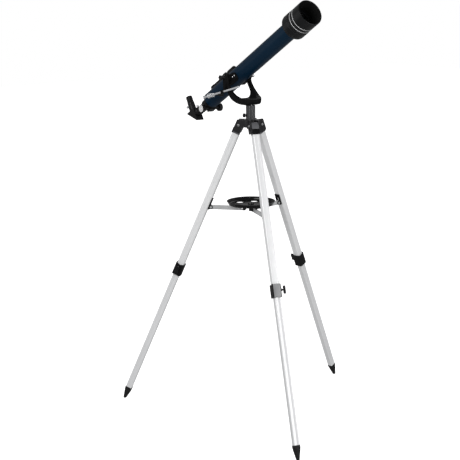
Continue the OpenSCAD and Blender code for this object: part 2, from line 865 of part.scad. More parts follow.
dew_shield();
trim_rings();
objective_cell();
objective_lenses();
stop_rings();
main_tube();
tube_cradle();
pivot_bolts();
small_screws();
finder_bracket();
finder_tube();
finder_lenses();
focuser_housing();
drawtube();
focus_shaft();
focus_knobs();
knob_caps();
drawtube_screw();
diagonal_housing();
diagonal_mirror();
diagonal_screw();
eyepiece_barrel();
eyepiece_body();
eye_lens();
yoke();
azimuth_spindle();
tangent_arm();
altitude_knob_right();
altitude_knob_left();
rod_swivel();
slow_motion_rod();
rod_block();
rod_nut();
tripod_hub();
column();
azimuth_lock_screw();
hinge_bolts();
spreader_hub();
accessory_tray();
for (i = LEGS) {
    upper_leg(i);
    leg_fittings(i);
    leg_clamp(i);
    clamp_screw(i);
    lower_leg(i);
    foot(i);
    spreader_arm(i);
}
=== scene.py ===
import json
import math

import bmesh
import bpy
from mathutils import Matrix, Vector


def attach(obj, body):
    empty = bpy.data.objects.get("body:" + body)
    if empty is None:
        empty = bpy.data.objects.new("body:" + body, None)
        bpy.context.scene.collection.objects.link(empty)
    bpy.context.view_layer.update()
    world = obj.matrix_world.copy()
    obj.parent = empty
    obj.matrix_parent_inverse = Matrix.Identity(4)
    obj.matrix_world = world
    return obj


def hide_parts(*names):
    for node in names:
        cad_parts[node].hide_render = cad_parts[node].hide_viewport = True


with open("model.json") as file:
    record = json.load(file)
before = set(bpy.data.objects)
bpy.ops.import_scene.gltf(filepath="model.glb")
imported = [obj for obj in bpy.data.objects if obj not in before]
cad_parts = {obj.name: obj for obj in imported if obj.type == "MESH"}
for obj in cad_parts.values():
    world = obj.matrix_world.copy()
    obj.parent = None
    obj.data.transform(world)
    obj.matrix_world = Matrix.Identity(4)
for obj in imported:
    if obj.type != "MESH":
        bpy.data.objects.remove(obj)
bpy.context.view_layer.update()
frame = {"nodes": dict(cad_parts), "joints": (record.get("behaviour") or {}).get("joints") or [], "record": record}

MM = 0.001
NODES = frame["nodes"]
JOINT = {j["name"]: j for j in frame["joints"]}
BODY_OF = {n: b for b, ns in frame["record"]["behaviour"]["bodies"].items() for n in ns}
SLOT_OF = {s["node"]: s["material_slot"] for s in frame["record"]["subparts"]}


# ---------------------------------------------------------------- places

def pivot(joint):
    return Vector(JOINT[joint]["pos_m"])


def axis(joint):
    return Vector(JOINT[joint]["axis"]).normalized()


def place(origin, x_axis, z_axis):
    """Matrix that takes millimetres in a local frame to the row frame."""
    x, z = x_axis.normalized(), z_axis.normalized()
    turn = Matrix((x, z.cross(x), z)).transposed().to_4x4()
    return Matrix.Translation(origin) @ turn @ Matrix.Scale(MM, 4)


UP = Vector((0, 0, 1))
ALTITUDE = pivot("altitude_tilt")
TUBE_DIR = axis("dew_shield_slide")
TUBE_UP = axis("eyepiece_slide")
TUBE = place(ALTITUDE, TUBE_DIR, TUBE_UP)
ROD = place(pivot("rod_nut_turn"), axis("rod_nut_turn"), axis("rod_nut_turn").cross(Vector((0, 1, 0))))
FINDER_ROLL = -20
FINDER_OFFSET = 46.5
FINDER = TUBE @ Matrix.Rotation(math.radians(FINDER_ROLL), 4, "X") @ Matrix.Translation((0, 0, FINDER_OFFSET))
PINION = place(pivot("focus_turn"), TUBE_DIR, TUBE_UP)
SPINDLE = place(Vector((0, 0, 0)), Vector((1, 0, 0)), UP)


def leg_place(i):
    """A leg's own frame: -Z runs down the leg from its hinge, +X is its outer face."""
    along = -axis(f"leg_{i}_slide")
    side = axis(f"leg_{i}_fold")
    return place(pivot(f"leg_{i}_fold"), side.cross(-along), -along)


# ---------------------------------------------------------------- materials

def surface(name, low, high, rough, metal=0.0, blotch=40.0, grain=900.0, grain_depth=0.00003, strength=0.3,
            coat=0.0, coat_rough=0.1, edge=None, edge_radius=0.0008, stretch=(1, 1, 1), rough_range=0.06,
            specular=0.5, fleck=None, dust=None):
    """A surface with blotchy colour between low and high, a fine grain, and rounded edges lightened in colour as a
    painted highlight.
    """
    material = bpy.data.materials.new(name)
    material.use_nodes = True
    tree = material.node_tree
    tree.nodes.clear()
    add = tree.nodes.new
    link = tree.links.new
    out = add("ShaderNodeOutputMaterial")
    bsdf = add("ShaderNodeBsdfPrincipled")
    link(bsdf.outputs[0], out.inputs[0])
    bsdf.inputs["Metallic"].default_value = metal
    bsdf.inputs["Specular IOR Level"].default_value = specular
    bsdf.inputs["Coat Weight"].default_value = coat
    bsdf.inputs["Coat Roughness"].default_value = coat_rough
    coords = add("ShaderNodeTexCoord")
    mapping = add("ShaderNodeMapping")
    mapping.inputs["Scale"].default_value = stretch
    link(coords.outputs["Object"], mapping.inputs[0])

    def noise(scale, detail):
        texture = add("ShaderNodeTexNoise")
        texture.inputs["Scale"].default_value = scale
        texture.inputs["Detail"].default_value = detail
        link(mapping.outputs[0], texture.inputs["Vector"])
        return texture

    def ramp(first, last, start=0.3, end=0.7):
        gradient = add("ShaderNodeValToRGB")
        for stop, where, colour in zip(gradient.color_ramp.elements, (start, end), (first, last)):
            stop.position = where
            stop.color = (*colour, 1)
        return gradient

    def mix(factor, below, above):
        """The colour below, covered by the colour above as far as the factor says."""
        layers = add("ShaderNodeMix")
        layers.data_type = "RGBA"
        link(factor, layers.inputs[0])
        link(below, layers.inputs[6])
        layers.inputs[7].default_value = (*above, 1)
        return layers.outputs[2]

    broad = noise(blotch, 4.0)
    tone = ramp(low, high)
    link(broad.outputs["Fac"], tone.inputs[0])
    colour = tone.outputs[0]
    fine = noise(grain, 3.0)
    if fleck:
        spots = noise(fleck[1], 1.0)
        gate = ramp((0, 0, 0), (1, 1, 1), fleck[2], fleck[2] + 0.06)
        link(spots.outputs["Fac"], gate.inputs[0])
        colour = mix(gate.outputs[0], colour, fleck[0])
    rounded = add("ShaderNodeBevel")
    rounded.samples = 4
    rounded.inputs["Radius"].default_value = edge_radius
    if edge:
        # An edge is near where the rounded normal leaves the true one; there the edge colour is mixed in as a
        # painted highlight
        geometry = add("ShaderNodeNewGeometry")
        dot = add("ShaderNodeVectorMath")
        dot.operation = "DOT_PRODUCT"
        link(rounded.outputs[0], dot.inputs[0])
        link(geometry.outputs["Normal"], dot.inputs[1])
        edge_highlight = add("ShaderNodeMapRange")
        edge_highlight.inputs["From Min"].default_value = 0.985
        edge_highlight.inputs["From Max"].default_value = 0.90
        link(dot.outputs["Value"], edge_highlight.inputs["Value"])
        # Painted highlight: the lighter edge colour laid along the edges
        colour = mix(edge_highlight.outputs[0], colour, edge)
    if dust:
        # Dust lies on what faces up
        geometry = add("ShaderNodeNewGeometry")
        parts = add("ShaderNodeSeparateXYZ")
        link(geometry.outputs["Normal"], parts.inputs[0])
        lying = add("ShaderNodeMapRange")
        lying.inputs["From Min"].default_value = 0.5
        lying.inputs["To Max"].default_value = dust[1]
        link(parts.outputs["Z"], lying.inputs["Value"])
        colour = mix(lying.outputs[0], colour, dust[0])
    link(colour, bsdf.inputs["Base Color"])
    shine = add("ShaderNodeMapRange")
    shine.inputs["To Min"].default_value = max(0.02, rough - rough_range)
    shine.inputs["To Max"].default_value = rough + rough_range
    link(fine.outputs["Fac"], shine.inputs["Value"])
    link(shine.outputs[0], bsdf.inputs["Roughness"])
    bump = add("ShaderNodeBump")
    bump.inputs["Strength"].default_value = strength
    bump.inputs["Distance"].default_value = grain_depth
    link(fine.outputs["Fac"], bump.inputs["Height"])
    link(rounded.outputs[0], bump.inputs["Normal"])
    link(bump.outputs[0], bsdf.inputs["Normal"])
    return material


def glass(name, tint):
    """A clear surface with a faint tint."""
    material = surface(name, tint, tuple(c * 0.97 for c in tint), 0.03, grain=60, strength=0.02,
                       rough_range=0.01)
    bsdf = next(node for node in material.node_tree.nodes if node.type == "BSDF_PRINCIPLED")
    bsdf.inputs["Transmission Weight"].default_value = 1.0
    bsdf.inputs["IOR"].default_value = 1.5
    return material


NAVY = surface("navy_enamel", (0.0012, 0.0115, 0.0285), (0.0018, 0.0150, 0.0345), 0.33, blotch=14, grain=1400,
               grain_depth=0.00001, coat=0.04, coat_rough=0.2, specular=0.12, rough_range=0.03,
               fleck=((0.005, 0.026, 0.052), 2600, 0.62))
SHELL = surface("moulded_black", (0.0045, 0.0045, 0.0052), (0.0085, 0.0085, 0.0095), 0.34, grain=1500,
                grain_depth=0.00004, specular=0.22, edge=(0.03, 0.03, 0.034), edge_radius=0.0007)
SHIELD = surface("shield_black", (0.0045, 0.0046, 0.0055), (0.0078, 0.008, 0.0092), 0.27, grain=1600,
                 grain_depth=0.00003, specular=0.28, edge=(0.03, 0.03, 0.034), edge_radius=0.0008)
FLOCK = surface("flocked_black", (0.004, 0.004, 0.004), (0.008, 0.008, 0.008), 0.9, grain=2600,
                grain_depth=0.0002, specular=0.2)
CAST = surface("cast_black", (0.0050, 0.0050, 0.0055), (0.0085, 0.0085, 0.009), 0.58, blotch=60,
               grain=700, grain_depth=0.00008, strength=0.4, specular=0.04, edge=(0.011, 0.011, 0.012),
               edge_radius=0.001)
HUB = surface("hub_black", (0.010, 0.010, 0.0112), (0.017, 0.017, 0.0185), 0.3, blotch=60, grain=900,
              grain_depth=0.00005, specular=0.4, edge=(0.06, 0.06, 0.065), edge_radius=0.0012)
BOLT = surface("dark_bolt", (0.30, 0.303, 0.31), (0.38, 0.383, 0.39), 0.28, metal=0.8, grain=1200,
               grain_depth=0.00001)
COLUMN = surface("column_grey", (0.070, 0.071, 0.075), (0.092, 0.093, 0.098), 0.27, metal=0.45, grain=900,
                 grain_depth=0.00004, edge=(0.12, 0.12, 0.125), stretch=(1, 1, 0.3))
CHROME = surface("chrome", (0.80, 0.81, 0.83), (0.88, 0.89, 0.91), 0.24, metal=0.75, blotch=120, grain=1200,
                 grain_depth=0.00001, strength=0.2, rough_range=0.04)
TRIM = surface("silver_trim", (0.80, 0.805, 0.815), (0.87, 0.875, 0.885), 0.32, metal=0.35, blotch=90,
               grain=1800, grain_depth=0.00002)
LEG = surface("anodised_leg", (0.84, 0.845, 0.855), (0.89, 0.893, 0.90), 0.38, metal=0.25, blotch=10,
              grain=1300, grain_depth=0.00003, stretch=(1, 1, 0.08), rough_range=0.05)
LEG_SLIM = surface("anodised_slim", (0.80, 0.805, 0.815), (0.85, 0.855, 0.865), 0.36, metal=0.25, blotch=10,
                   grain=1300, grain_depth=0.00003, stretch=(1, 1, 0.08), rough_range=0.05)
CAP = surface("leg_cap", (0.085, 0.086, 0.094), (0.115, 0.116, 0.125), 0.42, grain=1300, grain_depth=0.00004,
              edge=(0.2, 0.2, 0.205))
ARM_GREY = surface("spreader_grey", (0.42, 0.425, 0.43), (0.49, 0.495, 0.50), 0.42, grain=1200,
                   grain_depth=0.00006, edge=(0.62, 0.62, 0.63))
TRAY = surface("tray_black", (0.003, 0.003, 0.0035), (0.0055, 0.0055, 0.0062), 0.14, blotch=30, grain=400,
               grain_depth=0.00002, coat=0.1, coat_rough=0.06, specular=0.22, edge=(0.02, 0.02, 0.022))
CLAMP_FACE = surface("clamp_plate", (0.24, 0.242, 0.248), (0.31, 0.312, 0.318), 0.38, metal=0.2,
                     blotch=70, grain=1100, grain_depth=0.00004, stretch=(1, 1, 0.3))
RUBBER = surface("foot_rubber", (0.007, 0.007, 0.0075), (0.013, 0.013, 0.0135), 0.6, blotch=90,
                 grain=1500, grain_depth=0.00012, strength=0.4, specular=0.3, edge=(0.03, 0.03, 0.03),
                 dust=((0.05, 0.048, 0.045), 0.2))
GRIP = surface("grip_black", (0.0055, 0.0055, 0.006), (0.010, 0.010, 0.011), 0.36, grain=1400,
               grain_depth=0.00005, specular=0.22, edge=(0.04, 0.04, 0.043), edge_radius=0.0006)
STEEL = surface("spindle_steel", (0.36, 0.36, 0.38), (0.46, 0.46, 0.48), 0.26, metal=1.0, grain=900,
                grain_depth=0.00002, stretch=(1, 1, 9))
MIRROR = surface("mirror_face", (0.82, 0.85, 0.87), (0.86, 0.89, 0.91), 0.04, metal=1.0, strength=0.03,
                 rough_range=0.01)
LENS = glass("coated_glass", (0.80, 0.90, 0.92))

SLOT_LOOK = {"tube_blue": NAVY, "shell_black": SHELL, "casting_black": CAST, "chrome": CHROME,
             "silver_trim": TRIM, "leg_silver": LEG, "leg_silver_slim": LEG_SLIM, "column_grey": COLUMN,
             "spreader_grey": ARM_GREY, "tray_black": TRAY, "foot_rubber": RUBBER, "knob_black": GRIP,
             "barrel_steel": CHROME, "glass": LENS, "mirror": MIRROR, "spindle_steel": STEEL}
NODE_LOOK = {"tripod_hub": HUB, "pivot_bolts": GRIP}
for node_name, node in NODES.items():
    node.data.materials.clear()
    node.data.materials.append(NODE_LOOK.get(node_name) or SLOT_LOOK[SLOT_OF[node_name]])


# ---------------------------------------------------------------- mesh tools

def piece(name, bm, where, look, stands_for, bevel=0.0, sharp=35, segments=3):
    """Turns a bmesh in millimetres into the finished piece for the CAD node it stands for."""
    bmesh.ops.transform(bm, matrix=where, verts=bm.verts)
    if where.determinant() < 0:
        bmesh.ops.reverse_faces(bm, faces=bm.faces)
    bmesh.ops.recalc_face_normals(bm, faces=bm.faces)
    mesh = bpy.data.meshes.new(name)
    bm.to_mesh(mesh)
    bm.free()
    for face in mesh.polygons:
        face.use_smooth = True
    mesh.set_sharp_from_angle(angle=math.radians(sharp))
    obj = bpy.data.objects.new(name, mesh)
    bpy.context.scene.collection.objects.link(obj)
    for material in look if isinstance(look, list) else [look]:
        mesh.materials.append(material)
    if bevel:
        mod = obj.modifiers.new("edges", "BEVEL")
        mod.width = bevel * MM
        mod.segments = segments
        mod.limit_method = "ANGLE"
        mod.angle_limit = math.radians(28)
        mod.harden_normals = True
    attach(obj, BODY_OF[stands_for])
    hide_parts(stands_for)
    return obj


def lathe(bm, profile, segments=96, closed=True, local=None, shape=None, along="X"):
    """Adds a solid of revolution about an axis, from points (radius, level along the axis).

    A profile that isn't closed starts and ends on the axis. shape(angle, radius, level) may change a radius.
    """
    rings = []
    for k in range(segments):
        angle = 2 * math.pi * k / segments
        ring = []
        for radius, level in profile:
            reach = shape(angle, radius, level) if shape else radius
            across, up = reach * math.cos(angle), reach * math.sin(angle)
            spot = {"X": (level, across, up), "Y": (across, level, up), "Z": (across, up, level)}[along]
            ring.append(bm.verts.new(local @ Vector(spot) if local else Vector(spot)))
        rings.append(ring)
    n = len(profile)
    for k in range(segments):
        near, far = rings[k], rings[(k + 1) % segments]
        for i in range(n if closed else n - 1):
            j = (i + 1) % n
            bm.faces.new((near[i], near[j], far[j], far[i]))
    bmesh.ops.remove_doubles(bm, verts=[v for ring in rings for v in ring], dist=1e-5)


def prism(bm, outline, y0, y1, local=None, flip=False):
    """Adds a slab: an outline in X and Z with its thickness along Y, or with flip in X and Y along Z."""
    def at(point, y):
        spot = Vector((point[0], point[1], y)) if flip else Vector((point[0], y, point[1]))
        return local @ spot if local else spot
    low = [bm.verts.new(at(point, y0)) for point in outline]
    high = [bm.verts.new(at(point, y1)) for point in outline]
    bm.faces.new(low)
    bm.faces.new(list(reversed(high)))
    n = len(outline)
    for i in range(n):
        j = (i + 1) % n
        bm.faces.new((low[i], high[i], high[j], low[j]))


def smooth_loop(points, steps):
    """Closed Catmull-Rom curve through the points."""
    n = len(points)
    out = []
    for i in range(n):
        before, start, end, after = (points[(i + k) % n] for k in (-1, 0, 1, 2))
        for s in range(steps):
            t = s / steps
            out.append(tuple(0.5 * (2 * b + (c - a) * t + (2 * a - 5 * b + 4 * c - d) * t * t
                                    + (3 * b - a - 3 * c + d) * t ** 3)
                             for a, b, c, d in zip(before, start, end, after)))
    return out


def arc(cx, cz, r, start, end, steps):
    """Points on an arc, from one angle to another in degrees."""
    angles = [math.radians(start + (end - start) * k / steps) for k in range(steps + 1)]
    return [(cx + r * math.cos(a), cz + r * math.sin(a)) for a in angles]


def rounded_rect(w, h, r):
    points = []
    for sx, sz, a in ((1, 1, 0), (-1, 1, 90), (-1, -1, 180), (1, -1, 270)):
        points += arc(sx * (w / 2 - r), sz * (h / 2 - r), r, a, a + 90, 6)
    return points


def shift(x=0.0, y=0.0, z=0.0):
    return Matrix.Translation((x, y, z))


def turn(degrees, about):
    return Matrix.Rotation(math.radians(degrees), 4, about)


def lobes(count, depth, r0):
    """Radius change that cuts rounded hollows in a knob's rim, only where the radius is over r0."""
    def shape(angle, radius, level):
        return radius - depth * (0.5 - 0.5 * math.cos(count * angle)) ** 1.5 if radius > r0 else radius
    return shape


def ribs(count, depth, x0, x1, r0):
    """Radius change that cuts straight grooves between x0 and x1, only where the radius is over r0."""
    def shape(angle, radius, level):
        in_groove = (angle * count / (2 * math.pi)) % 1 < 0.45
        return radius - depth if in_groove and x0 <= level <= x1 and radius > r0 else radius
    return shape


# ---------------------------------------------------------------- shield, trim rings and cell

# Faces of the shield nearer to its axis than this are its flocked inside
SHIELD_INSIDE = 43.75

bm = bmesh.new()
lathe(bm, [(46.2, 402.4), (46.2, 409.7), (45.7, 409.9), (45.7, 412.1), (46.2, 412.3), (46.2, 424.7),
      (45.7, 424.9), (45.7, 427.1), (46.2, 427.3), (46.2, 463.6), (46.0, 465.4), (45.4, 466.6),
      (44.6, 467), (43.9, 466.5), (43.7, 465.6), (43.7, 401.4), (45.2, 401.4), (45.9, 401.6)], 160)
shield = piece("dew_shield_shell", bm, TUBE, [SHIELD, FLOCK], "dew_shield")
for face in shield.data.polygons:
    middle = TUBE.inverted() @ face.center
    if math.hypot(middle.y, middle.z) < SHIELD_INSIDE:
        face.material_index = 1

bm = bmesh.new()
for s in (411, 426):
    lathe(bm, [(45.65, s - 1.05), (46.1, s - 1.05), (46.2, s - 0.9), (46.2, s + 0.9), (46.1, s + 1.05),
               (45.65, s + 1.05)], 160)
piece("trim_ring_pair", bm, TUBE, TRIM, "trim_rings")

bm = bmesh.new()
lathe(bm, [(30.7, 356), (32.4, 356), (33.4, 356.5), (34.8, 358.3), (37.6, 360.2), (44.2, 364),
      (46.2, 366.2), (47, 369.4), (47, 372), (46.4, 372.5), (46.4, 374.5), (47, 375), (47, 394),
      (46.4, 394.5), (46.4, 396.5), (47, 397), (47, 399.3), (46.7, 400.3), (46.3, 401), (43.64, 401),
      (43.64, 412), (33.2, 412), (33.2, 402), (31.1, 402), (31.1, 390), (28.6, 390), (28.6, 380),
      (30.7, 380)], 160)
piece("cell_shell", bm, TUBE, SHIELD, "objective_cell")

# ---------------------------------------------------------------- finder

bm = bmesh.new()
lathe(bm, [(6.4, -184), (7.8, -184), (8.8, -183.4), (9.2, -182.2), (9.2, -167.4), (8.7, -166.4),
      (8.2, -164.6), (8.2, -66), (8.6, -63.4), (10.2, -60), (10.8, -57.2), (10.8, -24.2), (10.6, -22.2),
      (10, -21), (9, -21), (8.8, -22), (8.8, -56), (6.9, -60), (6.9, -166), (6.4, -168)], 72,
      shape=ribs(36, 0.4, -181.5, -168.5, 9.0))
piece("finder_body", bm, FINDER, SHIELD, "finder_tube")

# ---------------------------------------------------------------- focuser, diagonal and eyepiece

bm = bmesh.new()
for side in (-1, 1):
    lathe(bm, [(3, 13.2), (6.2, 14), (7, 14.8), (7, 31.4), (12.6, 32.2), (14.4, 32.8), (15, 34),
          (15, 44), (14.6, 45.4), (13.4, 46), (13.4, 44.9), (3, 44.9)], 144, along="Z",
          local=turn(-90 * side, "X"), shape=ribs(36, 0.7, 33.2, 44.6, 14.5))
piece("focus_knob_grips", bm, PINION, GRIP, "focus_knobs")

bm = bmesh.new()
for side in (-1, 1):
    lathe(bm, [(0, 45), (13.35, 45), (13.35, 46.1), (12.9, 46.6), (11.4, 46.6), (10.9, 46.2),
          (4.5, 46.0), (4.1, 46.4), (0, 46.5)], 96, closed=False, along="Z",
          local=turn(-90 * side, "X"))
piece("focus_knob_discs", bm, PINION, TRIM, "knob_caps")

# The diagonal's frame: on the tube's axis, where the mirror turns the light towards the eyepiece
EYE = TUBE @ shift(-326)
bm = bmesh.new()
lathe(bm, [(12.24, 40.35), (13.1, 40.35), (13.4, 40.8), (13.6, 51.6), (13.2, 52.8), (12.6, 54),
      (12.4, 55), (12.4, 70), (12.2, 76.4), (11.6, 77.6), (10.6, 78), (9.6, 77.8), (8, 74.6), (8, 48),
      (12.24, 48)], 96, along="Z", shape=ribs(40, 0.35, 42, 51, 13.0))
piece("eyepiece_shell", bm, EYE, SHELL, "eyepiece_body")


def thumbscrew_piece(name, where, z0, z1, shank, stands_for):
    """Plated screw with a knurled head, inside the space of its wing."""
    bm = bmesh.new()
    head = 4.6
    lathe(bm, [(0, z0), (shank - 0.3, z0), (shank, z0 + 0.4), (shank, z1), (2.4, z1), (2.6, z1 + 0.3),
          (2.6, z1 + 1.8), (head - 0.4, z1 + 2), (head, z1 + 2.5), (head, z1 + 7),
          (head - 0.5, z1 + 7.6), (0, z1 + 7.8)], 60, closed=False, along="Z",
          shape=ribs(20, 0.35, z1 + 2.6, z1 + 6.9, head - 0.2))
    piece(name, bm, where, CHROME, stands_for)


thumbscrew_piece("drawtube_thumbscrew", TUBE @ shift(-290), 12.4, 18.5, 1.55, "drawtube_screw")
thumbscrew_piece("diagonal_thumbscrew", EYE @ shift(0, 0, 34) @ turn(90, "X"), 12.4, 16, 1.55,
                 "diagonal_screw")

# ---------------------------------------------------------------- fork

# Outlines in millimetres from the altitude axis: from the side (forward, up), from above, from the front
SIDE = [(-8.5, 0), (-8.0, 5), (-4.6, 8.4), (0, 9.4), (4.6, 8.4), (8.0, 5), (8.9, -4), (10.2, -18),
        (19, -31), (31, -44), (43, -54.5), (54, -63), (64, -69), (78, -72.5), (90, -74.2),
        (96.6, -77.8), (98.8, -83), (95.6, -89.4), (88, -94.6), (77, -97), (58, -97), (44, -91),
        (31, -80), (21, -67), (12, -53), (1, -38), (-6.5, -26), (-8.4, -12)]
FORK_HALF = 58
NOSE = [(50 + 50 * math.cos(math.radians(a)), FORK_HALF * math.sin(math.radians(a)))
        for a in range(-90, 91, 6)]
PLAN = [(-20, -FORK_HALF)] + NOSE + [(-20, FORK_HALF)]
FRONT = ([(-56, 12)] + arc(-17, -58, 39, 180, 270, 20) + arc(17, -58, 39, 270, 360, 20) + [(56, 12), (46, 12)]
         + arc(17, -46, 29, 0, -90, 20) + arc(-17, -46, 29, -90, -180, 20) + [(-46, 12)])


def solid_object(name, bm):
    """A bare object made from a bmesh, for a modifier to work on or with."""
    bmesh.ops.recalc_face_normals(bm, faces=bm.faces)
    mesh = bpy.data.meshes.new(name)
    bm.to_mesh(mesh)
    bm.free()
    obj = bpy.data.objects.new(name, mesh)
    bpy.context.scene.collection.objects.link(obj)
    return obj


def discard(*objects):
    for obj in objects:
        mesh = obj.data
        bpy.data.objects.remove(obj)
        bpy.data.meshes.remove(mesh)


def applied(obj):
    """The object's mesh with its modifiers applied, as a bmesh; the object is removed."""
    bm = bmesh.new()
    bm.from_object(obj, bpy.context.evaluated_depsgraph_get())
    discard(obj)
    return bm


def boolean(obj, other, operation):
    """Adds a boolean modifier; both objects have to last until the result is applied."""
    mod = obj.modifiers.new(operation.lower(), "BOOLEAN")
    mod.operation = operation
    mod.solver = "EXACT"
    mod.object = other


bm = bmesh.new()
prism(bm, smooth_loop(SIDE, 4), -FORK_HALF, FORK_HALF)
cast = solid_object("cast_work", bm)
bm = bmesh.new()
prism(bm, FRONT, -120, 120, local=turn(90, "Z"))
front = solid_object("front_work", bm)
boolean(cast, front, "INTERSECT")
bm = bmesh.new()
prism(bm, PLAN, -120, 40, flip=True)
plan = solid_object("plan_work", bm)
boolean(cast, plan, "INTERSECT")
bm = bmesh.new()
lathe(bm, [(0, -70), (4.06, -70), (4.06, 70), (0, 70)], 48, closed=False, along="Y")
lathe(bm, [(0, -98), (8, -98), (8, -86), (0, -86)], 48, closed=False, along="Z", local=shift(76.5))
bores = solid_object("bore_work", bm)
boolean(cast, bores, "DIFFERENCE")
remesh = cast.modifiers.new("remesh", "REMESH")
remesh.mode = "VOXEL"
remesh.voxel_size = 0.85
soften = cast.modifiers.new("soften", "SMOOTH")
soften.factor = 0.5
soften.iterations = 12
bm = applied(cast)
discard(front, plan, bores)
FORK = place(ALTITUDE, Vector((1, 0, 0)), UP)
piece("fork_casting", bm, FORK, CAST, "yoke", sharp=180)


def clamp_knob_piece(name, side, y, r, neck, h, look, stands_for):
    """Lobed hand knob with a dished end."""
    bm = bmesh.new()
    bore = 4.06
    lathe(bm, [(bore, 0), (r * 0.62, 0), (r * 0.7, 0.6), (r * 0.7, neck - 0.8), (r - 1.4, neck),
          (r - 0.3, neck + 0.7), (r, neck + 1.8), (r, neck + h - 1.8), (r - 0.5, neck + h - 0.5),
          (r - 1.8, neck + h), (r * 0.5, neck + h), (r * 0.42, neck + h - 0.8), (0, neck + h - 0.8),
          (0, neck + h - 2.4), (bore, neck + h - 2.4)], 120, along="Z", local=turn(-90 * side, "X"),
          shape=lobes(6, r * 0.17, r * 0.72))
    piece(name, bm, FORK @ shift(0, y), look, stands_for)


clamp_knob_piece("clamp_grip_right", -1, -61.7, 9.5, 11, 8, GRIP, "altitude_knob_right")
clamp_knob_piece("clamp_grip_left", 1, 63, 6, 2, 8, CHROME, "altitude_knob_left")

# ---------------------------------------------------------------- slow-motion rod and its nut

bm = bmesh.new()


def thread(angle, radius, level):
    """A 1 mm thread cut along the rear half of the rod."""
    if radius > 3.3 and -44 < level < 62:
        return radius - 0.12 * abs(2 * ((level + angle / (2 * math.pi)) % 1) - 1)
    return radius


threaded = [(3.5, -45.9 + 0.25 * k) for k in range(432)]
lathe(bm, [(0, -49), (5.4, -49), (6, -48.6), (6, -46.4), (5.6, -46), (3.5, -46)] + threaded
      + [(3.5, 63), (3.5, 175.2), (3.0, 176), (0, 176)], 32, closed=False, shape=thread)
piece("threaded_rod", bm, ROD, CHROME, "slow_motion_rod", sharp=60)

bm = bmesh.new()
lathe(bm, [(4.1, -20), (7.2, -20), (8, -19.6), (8.3, -18.8), (8.3, -14.6), (7.9, -13.6), (7, -13),
      (5.8, -12.8), (5.6, -12.4), (5.6, -9.6), (5.8, -9.2), (5.8, -5.9), (5.4, -5.35), (4.1, -5.35)])
piece("knurled_nut", bm, ROD, CHROME, "rod_nut")

# ---------------------------------------------------------------- column and azimuth lock

bm = bmesh.new()


def flutes(angle, radius, level):
    """Twelve rounded flutes down the column's outer face."""
    aside = abs(((angle * 12 / (2 * math.pi)) % 1) - 0.5) * 2
    if radius > 16.2 and 1101.5 < level < 1149.9 and aside < 0.62:
        return radius - 1.5 * math.sqrt(max(0.0, 1 - (aside / 0.62) ** 2))
    return radius


lathe(bm, [(10.06, 1111), (10.06, 1150.65), (15.8, 1150.65), (16.7, 1150.4), (17, 1150), (17, 1149.8),
      (17, 1148.6), (17, 1103), (17, 1101.6), (17, 1101.4), (17, 1100), (14, 1100), (14, 1066),
      (0, 1066), (0, 1111)], 192, along="Z", shape=flutes)
piece("fluted_column", bm, SPINDLE, COLUMN, "column")

LOCK = place(pivot("azimuth_lock_turn"), UP.cross(axis("azimuth_lock_turn")), axis("azimuth_lock_turn"))
bm = bmesh.new()
lathe(bm, [(0, 10.4), (2.54, 10.4), (2.54, 19.6), (3.4, 19.6), (6.4, 19.7), (7.2, 20.3), (7.5, 21.2),
      (7.5, 26.6), (7, 27.9), (5.8, 28.6), (0, 28.6)], 96, closed=False, along="Z",
      shape=lobes(6, 1.3, 5.6))
piece("azimuth_lock_grip", bm, LOCK, GRIP, "azimuth_lock_screw")

# ---------------------------------------------------------------- hinge bolts

bm = bmesh.new()
for i in (1, 2, 3):
    hinge = place(pivot(f"leg_{i}_fold"), axis(f"leg_{i}_fold").cross(UP), UP)
    local = SPINDLE.inverted() @ hinge
    lathe(bm, [(0, -19.35), (3, -19.35), (3, 19.35), (0, 19.35)], 32, closed=False, along="Y", local=local)
    for side in (-1, 1):
        dome = [(0, 21.6 * side), (2.0, 21.6 * side), (2.4, 22.3 * side), (4.2, 21.8 * side),
                (5.2, 20.8 * side), (5.5, 19.9 * side), (5.5, 19.35 * side), (0, 19.35 * side)]
        lathe(bm, dome, 48, closed=False, along="Y", local=local)
piece("hinge_bolt_set", bm, SPINDLE, BOLT, "hinge_bolts")

# ---------------------------------------------------------------- legs

# How far a foot stands out from its hinge, and how high the hinge is
LEG_OUT, LEG_HIGH = 468, 1080
# Down the leg from its hinge: the floor, the top of the foot, the clamp, and the slim tube's upper end
LEG_LENGTH = math.hypot(LEG_OUT, LEG_HIGH)
FOOT_TOP = LEG_LENGTH - 51
CLAMP = LEG_LENGTH - 580
SLIM_TOP = 505
# The upper tube ends this far above the clamp's middle
RAIL_END = 8
# Lower edge of the saddle, in the leg's own frame
SADDLE_LOW = -34
# Sizes of the upper and the slim tube across X and Y, and their walls
LEG_X, LEG_Y, LEG_WALL = 26.5, 25, 1.1
SLIM_X, SLIM_Y, SLIM_WALL = 23.7, 22.2, 1.3


def section(w, d, r, wall, groove):
    """Outline of a leg extrusion with a shallow groove down each face, and its hollow."""
    outer = []
    for gx, gy, ax in ((1, 0, 0), (0, 1, 90), (-1, 0, 180), (0, -1, 270)):
        half = w / 2 if gx else d / 2
        span = (d if gx else w) / 2 - r
        g = span * 0.42
        normal = Vector((gx, gy))
        along = Vector((-gy, gx))
        for t, cut in ((-g, 0), (-g + 0.5, groove), (g - 0.5, groove), (g, 0)):
            outer.append(tuple(normal * (half - cut) + along * t))
        corner = normal * (half - r) + along * span
        outer += arc(corner.x, corner.y, r, ax, ax + 90, 6)
    inner = rounded_rect(w - 2 * wall, d - 2 * wall, max(0.6, r - wall))
    return outer, inner


